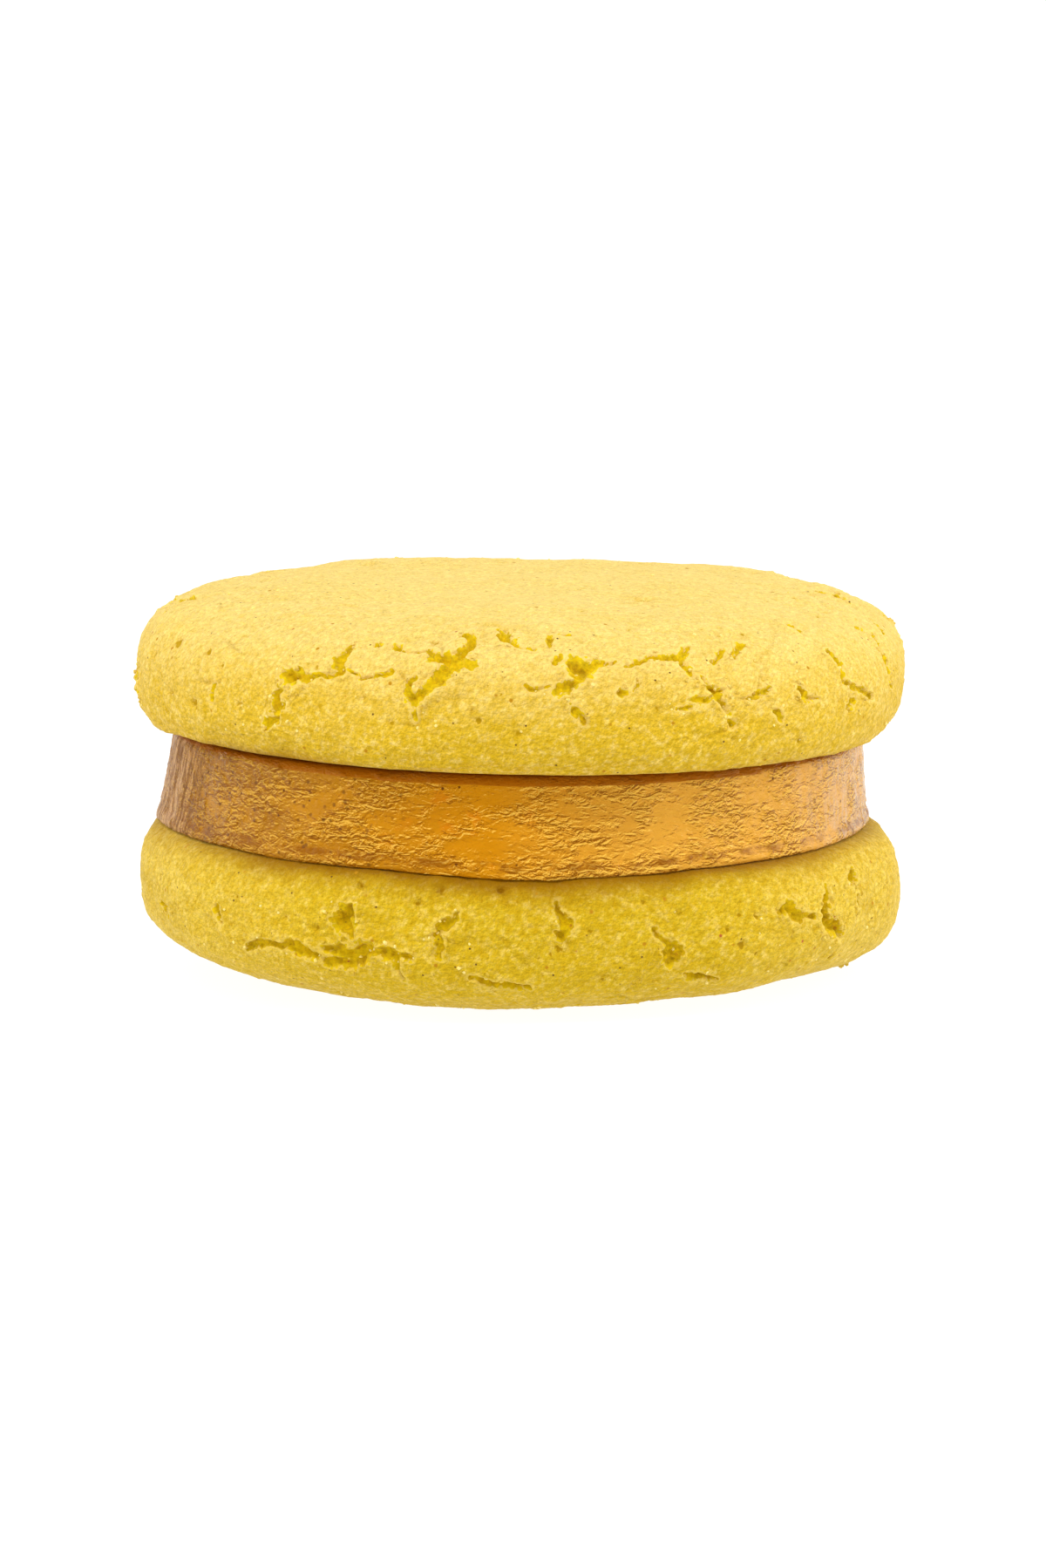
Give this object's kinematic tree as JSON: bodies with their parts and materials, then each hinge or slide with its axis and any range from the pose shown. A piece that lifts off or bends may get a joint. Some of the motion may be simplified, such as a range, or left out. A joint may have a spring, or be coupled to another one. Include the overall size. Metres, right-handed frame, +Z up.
{
  "type": "sandwich cookie",
  "caption": "Round sandwich cookie: crackled yellow cookies with their domes outwards, and a thick disc of amber fruit jelly between them.",
  "frame": {"origin": "middle of the round stack, on the surface that it stands on", "axes": "+Z up through the stack, -Y towards the front that the picture shows, +X to its right"},
  "size_m": [0.0798, 0.0815, 0.0404],
  "materials": {
    "cookie_crumb": "matt, sandy baked dough",
    "jelly": "glossy set fruit jelly"
  },
  "bodies": {
    "root": {"cookie_upper": "cookie_crumb", "cookie_lower": "cookie_crumb", "jelly_filling": "jelly"}
  },
  "joints": []
}
